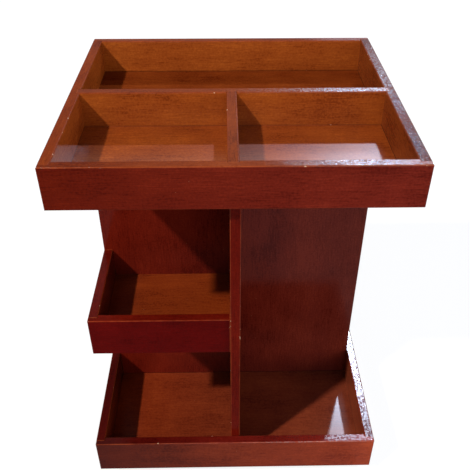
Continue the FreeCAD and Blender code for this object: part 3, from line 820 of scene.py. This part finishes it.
def ring_tree(name, turned=False):
    """A tree that sets copies of one object round a circle, or at the corners of a square."""
    w, given, sink = new_group(
        name, "GeometryNodeTree",
        [("Count", "NodeSocketInt", 8), ("Radius", NUMBER, 50 * MM), ("Turn", NUMBER, 0.0),
         ("Level", NUMBER, 0.0), ("Pattern", "NodeSocketObject", None), ("Spin seed", "NodeSocketInt", 3),
         ("Material", "NodeSocketMaterial", None)],
        [("Mesh", GEOMETRY)])
    circle = w.node("GeometryNodeMeshCircle", {"Vertices": given["Count"], "Radius": given["Radius"]})
    level = w.node("ShaderNodeCombineXYZ", {"Z": given["Level"]}).outputs[0]
    turn = w.node("ShaderNodeCombineXYZ", {"Z": given["Turn"]}).outputs[0]
    points = w.node("GeometryNodeTransform", {"Geometry": circle.outputs[0], "Translation": level,
                                              "Rotation": turn}).outputs[0]
    pattern = w.node("GeometryNodeObjectInfo", {"Object": given["Pattern"]}).outputs["Geometry"]
    spin = w.node("FunctionNodeRandomValue", {"Seed": given["Spin seed"]}, data_type="FLOAT_VECTOR")
    spin.inputs[0].default_value = (0, 0, 0)
    spin.inputs[1].default_value = (0, 0, 2 * math.pi if turned else 0)
    copies = w.node("GeometryNodeInstanceOnPoints", {"Points": points, "Instance": pattern,
                                                     "Rotation": spin.outputs[0]}).outputs[0]
    whole = w.node("GeometryNodeRealizeInstances", {0: copies}).outputs[0]
    done = w.node("GeometryNodeSetMaterial", {"Geometry": whole, "Material": given["Material"]}).outputs[0]
    w.tree.links.new(done, sink.inputs["Mesh"])
    return w.tree


def turned_form(outline, steps=32):
    """A shape turned on the Z axis from (radius, height) points, of which the ends are on the axis."""
    form = bmesh.new()
    points = [form.verts.new((radius, 0, height)) for radius, height in outline]
    edges = [form.edges.new(pair) for pair in zip(points, points[1:])]
    bmesh.ops.spin(form, geom=points + edges, axis=(0, 0, 1), cent=(0, 0, 0), steps=steps,
                   angle=2 * math.pi, use_merge=True)
    bmesh.ops.remove_doubles(form, verts=form.verts, dist=WELD)
    bmesh.ops.recalc_face_normals(form, faces=form.faces)
    return form


def form_object(name, form, angle=math.radians(35)):
    """A piece from mesh work in hand, shaded smoothly."""
    return smooth_faces(placed(name, mesh_of(form, name)), angle)


def screw_pattern(settings, up, reach):
    """One pan-head screw with a cross recess, head at z = 0 and shank away from it."""
    radius, rise, shank = settings.head_radius, settings.head_height, settings.shank_radius
    pitch, depth, neck, point = 1.0 * MM, 0.28 * MM, 0.4 * MM, 1.4 * MM
    dome = [(radius * math.cos(turn), rise * (0.35 + 0.62 * math.sin(turn)))
            for turn in (math.radians(step) for step in range(0, 90, 15))]
    outline = [(0, rise * 0.97), *reversed(dome), (radius, 0), (shank, 0)]
    for turn in range(int((reach - 2 * MM) / pitch)):
        outline += [(shank, -(neck + turn * pitch)), (shank - depth, -(neck + (turn + 0.5) * pitch))]
    outline += [(shank - 0.1 * MM, -(reach - point)), (0, -reach)]
    piece = form_object("Screw pattern", turned_form(outline))

    arm, width, taper = radius * 0.56, radius * 0.15, 0.45
    mouth, bottom = rise * 1.5, rise * 0.3
    cutter = bmesh.new()
    for wide, deep in ((arm, width), (width, arm)):
        for corner in bmesh.ops.create_cube(cutter, size=2)["verts"]:
            upper = corner.co.z > 0
            narrow = 1.0 if upper else taper
            corner.co.x *= wide * narrow
            corner.co.y *= deep * narrow
            corner.co.z = mouth if upper else bottom
    tool = form_object("Cross recess", cutter)
    cut = piece.modifiers.new("Recess", "BOOLEAN")
    cut.operation, cut.object, cut.solver = "DIFFERENCE", tool, "EXACT"
    cut.use_self = True
    baked(piece)
    bpy.data.objects.remove(tool)
    if not up:
        piece.data.transform(Matrix.Rotation(math.pi, 4, "X"))
    return smooth_faces(piece, math.radians(35))


class ORGANISER_OT_plates(Operator):
    """The two pressed plates of the turntable"""
    bl_idname = "organiser.plates"
    bl_label = "Turntable plates"

    def execute(self, context):
        table = context.scene.organiser_turntable
        for node, body in (("upper_plate", "organiser"), ("lower_plate", "turntable_foot")):
            steel = metal_material(node + ".zinc", table.zinc, 0.24, 0.46, spangle=0.55)
            piece = rounded_copy(node, node + ".pressing", steel, 0.15 * MM)
            stand_in(piece, body, "plate_steel", node)
        return {"FINISHED"}


class ORGANISER_OT_ball_ring(Operator):
    """The bearing balls on their track, and the cage that spaces them"""
    bl_idname = "organiser.ball_ring"
    bl_label = "Ball ring"

    def execute(self, context):
        table = context.scene.organiser_turntable
        low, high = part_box("bearing_balls")
        radius = (high.z - low.z) / 2
        form = bmesh.new()
        bmesh.ops.create_icosphere(form, subdivisions=3, radius=radius)
        pattern = form_object("Ball pattern", form, angle=math.radians(80))
        steel = metal_material("ball.steel", table.ball, 0.06, 0.16)
        values = {"Count": table.balls, "Radius": table.track, "Turn": 0.0, "Level": (high.z + low.z) / 2,
                  "Pattern": pattern}
        balls = repeated("bearing_balls.steel", ring_tree("Ball ring"), values, steel)
        bpy.data.objects.remove(pattern)
        stand_in(balls, "ball_ring", "ball_steel", "bearing_balls")
        nylon = plain_material("cage.nylon", table.cage, 0.72, rough=0.42, depth=0.02 * MM, size=8 * MM)
        cage = rounded_copy("ball_cage", "ball_cage.nylon", nylon, 0.12 * MM)
        stand_in(cage, "ball_ring", "cage_plastic", "ball_cage")
        return {"FINISHED"}


class ORGANISER_OT_screws(Operator):
    """The eight screws that hold the plates"""
    bl_idname = "organiser.screws"
    bl_label = "Screws"

    def execute(self, context):
        table = context.scene.organiser_turntable
        steel = metal_material("screw.zinc", table.screw, 0.18, 0.38)
        tree = ring_tree("Screw square", turned=True)
        for node, body, up, spins in (("upper_plate_screws", "organiser", False, 11),
                                      ("lower_plate_screws", "turntable_foot", True, 5)):
            low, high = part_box(node)
            seat = high.z - table.head_height if up else low.z + table.head_height
            pattern = screw_pattern(table, up, high.z - low.z - table.head_height)
            values = {"Count": 4, "Radius": table.screw_square / math.sqrt(2), "Turn": math.pi / 4,
                      "Level": seat, "Pattern": pattern, "Spin seed": spins}
            screws = repeated(node + ".zinc", tree, values, steel)
            bpy.data.objects.remove(pattern)
            stand_in(screws, body, "screw_steel", node)
        return {"FINISHED"}


class ORGANISER_OT_foot(Operator):
    """The round foot board and its stuck-on rubber feet"""
    bl_idname = "organiser.foot"
    bl_label = "Foot"

    def execute(self, context):
        table = context.scene.organiser_turntable
        painted = plain_material("foot_board.paint", table.base, 0.6, rough=0.5, depth=0.06 * MM,
                                 size=20 * MM)
        board = rounded_copy("foot_board", "foot_board.disc", painted, 0.3 * MM, low=30, high=62)
        stand_in(board, "turntable_foot", "foot_wood", "foot_board")
        low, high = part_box("rubber_feet")
        rise, radius = high.z - low.z, table.foot_radius
        sole = radius - 1.5 * MM
        side = [(0, rise), (radius, rise), (radius, rise * 0.86), (radius - 0.35 * MM, rise * 0.55)]
        lip = [(sole + 0.25 * MM, 0.8 * MM), (sole, 0.35 * MM), (sole - 0.5 * MM, 0), (sole - 1.6 * MM, 0)]
        groove = [(sole - 2.0 * MM, 0.5 * MM), (sole - 3.0 * MM, 0.5 * MM)]
        pad = [(sole - 3.4 * MM, 0.1 * MM), (0, 0.1 * MM)]
        pattern = form_object("Foot pattern", turned_form(side + lip + groove + pad))
        rubber = plain_material("foot.rubber", table.rubber, 1.9, rough=0.72, depth=0.05 * MM, size=6 * MM)
        values = {"Count": table.feet, "Radius": table.foot_circle, "Turn": math.radians(22.5),
                  "Level": low.z, "Pattern": pattern}
        feet = repeated("rubber_feet.moulded", ring_tree("Foot ring"), values, rubber)
        bpy.data.objects.remove(pattern)
        stand_in(feet, "turntable_foot", "foot_rubber", "rubber_feet")
        return {"FINISHED"}


# ---------------------------------------------------------------- stage


def seen_share(w, mirrored):
    """1 where the camera looks straight or through glass, and the mirrored share in reflections."""
    path = w.node("ShaderNodeLightPath").outputs
    seen = w.math("MAXIMUM", path["Is Camera Ray"], w.math("MULTIPLY", path["Is Glossy Ray"], mirrored))
    return w.math("MAXIMUM", seen, path["Is Transmission Ray"])


def stage_floor():
    """A pale floor that looks white to the camera and still takes the object's shadow."""
    grey, glow, radius = (0.16, 0.16, 0.16, 1), 0.87, 6
    form = bmesh.new()
    bmesh.ops.create_circle(form, cap_ends=True, segments=64, radius=radius)
    mesh = mesh_of(form, "Stage floor")
    material, w, _ = new_material("Stage floor")
    matt = w.node("ShaderNodeBsdfDiffuse", {"Color": grey})
    level = w.math("MULTIPLY", seen_share(w, mirrored=0.12), glow)
    light = w.node("ShaderNodeEmission", {"Color": WHITE, "Strength": level})
    both = w.node("ShaderNodeAddShader", {0: matt.outputs[0], 1: light.outputs[0]})
    w.node("ShaderNodeOutputMaterial", {"Surface": both.outputs[0]})
    placed("Stage floor", mesh, material)


def stage_world(fill):
    """White all round to the camera, faint in reflections, and a plain fill on the object."""
    world = bpy.data.worlds.new("Studio")
    bpy.context.scene.world = world
    world.use_nodes = True
    world.node_tree.nodes.clear()
    w = Wiring(world.node_tree)
    soft = w.node("ShaderNodeBackground", {"Color": WHITE, "Strength": fill})
    white = w.node("ShaderNodeBackground", {"Color": WHITE, "Strength": 1.0})
    both = w.node("ShaderNodeMixShader", {0: seen_share(w, mirrored=0.06), 1: soft.outputs[0],
                                          2: white.outputs[0]})
    w.node("ShaderNodeOutputWorld", {"Surface": both.outputs[0]})


def stage_lamp(name, kind, place, aim, **settings):
    """A lamp at a place, turned to what it lights."""
    lamp = bpy.data.lights.new(name, kind)
    for key, value in settings.items():
        setattr(lamp, key, value)
    holder = bpy.data.objects.new(name, lamp)
    holder.location = place
    holder.rotation_euler = (Vector(aim) - Vector(place)).to_track_quat("-Z", "Y").to_euler()
    bpy.context.scene.collection.objects.link(holder)
    return holder


def stage_camera(stage):
    """The camera in front, above the object and looking down on it."""
    camera = bpy.data.cameras.new("Camera")
    camera.sensor_width, camera.lens = 36, stage.lens
    camera.shift_x, camera.shift_y = -0.0036, 0.0278
    turn, tilt, roll = stage.turn, stage.tilt, stage.roll
    level = math.cos(tilt)
    ahead = Vector((math.sin(turn) * level, math.cos(turn) * level, -math.sin(tilt)))
    right = Vector((math.cos(turn), -math.sin(turn), 0))
    down = ahead.cross(right)
    side = math.cos(roll) * right + math.sin(roll) * down
    below = -math.sin(roll) * right + math.cos(roll) * down
    holder = bpy.data.objects.new("Camera", camera)
    facing = Matrix((side, -below, -ahead)).transposed().to_4x4()
    holder.matrix_world = Matrix.Translation(stage.eye) @ facing
    bpy.context.scene.collection.objects.link(holder)
    bpy.context.scene.camera = holder


class ORGANISER_OT_stage(Operator):
    """Camera, lamps, floor and world"""
    bl_idname = "organiser.stage"
    bl_label = "Stage"

    def execute(self, context):
        stage = context.scene.organiser_stage
        stage_camera(stage)
        stage_floor()
        stage_world(stage.fill)
        middle, bays = Vector((0, 0, 0.2)), (0, 0, 0.15)
        key_heading, window_side = Vector((0.713, 0.566, -1)), Vector((0.234, 0.720, 0.655))
        stage_lamp("Key", "SUN", middle - key_heading * 2, middle, energy=stage.key,
                   angle=math.radians(2.5))
        stage_lamp("Side", "AREA", (1.8, -0.8, 0.8), middle, energy=stage.side, shape="SQUARE", size=1.2)
        stage_lamp("Bays", "AREA", (0.25, -1.5, 0.5), bays, energy=stage.bays, shape="SQUARE", size=1.2)
        stage_lamp("Window", "SUN", middle + window_side * 2, middle, energy=stage.window,
                   color=COOL, angle=math.radians(2.0))
        for name, place, wide, tall, tint, power in (
                ("Low card", (0.395, 1.3, 0.975), 0.25, 0.35, COOL, stage.low_card),
                ("High card", (0.44, 1.3, 1.325), 0.24, 0.35, COOL, stage.high_card),
                ("Warm card", (0.0, 1.3, 1.22), 0.70, 0.36, WARM, stage.warm_card)):
            card = stage_lamp(name, "AREA", place, (place[0], 0.0, place[2]), energy=power, color=tint,
                              shape="RECTANGLE", size=wide, size_y=tall)
            card.visible_diffuse = False
            card.visible_camera = False
        context.scene.view_settings.view_transform = "Standard"
        return {"FINISHED"}


# ---------------------------------------------------------------- sidebar and run


class ORGANISER_PT_pieces(Panel):
    """Lists the pieces in the 3D view's sidebar"""
    bl_idname = "ORGANISER_PT_pieces"
    bl_label = "Rotating organiser"
    bl_space_type = "VIEW_3D"
    bl_region_type = "UI"
    bl_category = "Organiser"

    def draw(self, context):
        for step in STEPS:
            self.layout.operator(step.bl_idname, text=step.bl_label)
        for owner, group in SETTINGS.items():
            box = self.layout.box()
            values = getattr(context.scene, owner)
            for name in group.__annotations__:
                box.prop(values, name)


SETTINGS = {"organiser_wood": WoodSettings, "organiser_turntable": TurntableSettings,
            "organiser_stage": StageSettings}
STEPS = (ORGANISER_OT_top_tray, ORGANISER_OT_base_tray, ORGANISER_OT_core, ORGANISER_OT_shelf_trays,
         ORGANISER_OT_plates, ORGANISER_OT_ball_ring, ORGANISER_OT_screws, ORGANISER_OT_foot,
         ORGANISER_OT_stage)
CLASSES = (*SETTINGS.values(), *STEPS, ORGANISER_PT_pieces)


def register():
    """Makes the settings, the operators and the panel known to Blender."""
    for made in CLASSES:
        bpy.utils.register_class(made)
    for owner, group in SETTINGS.items():
        setattr(bpy.types.Scene, owner, PointerProperty(type=group))


def unregister():
    """Takes them away again."""
    for owner in SETTINGS:
        delattr(bpy.types.Scene, owner)
    for made in reversed(CLASSES):
        bpy.utils.unregister_class(made)


def main():
    """Makes every piece and the stage."""
    register()
    for step in STEPS:
        family, action = step.bl_idname.split(".")
        getattr(getattr(bpy.ops, family), action)()


if __name__ == "__main__":
    main()
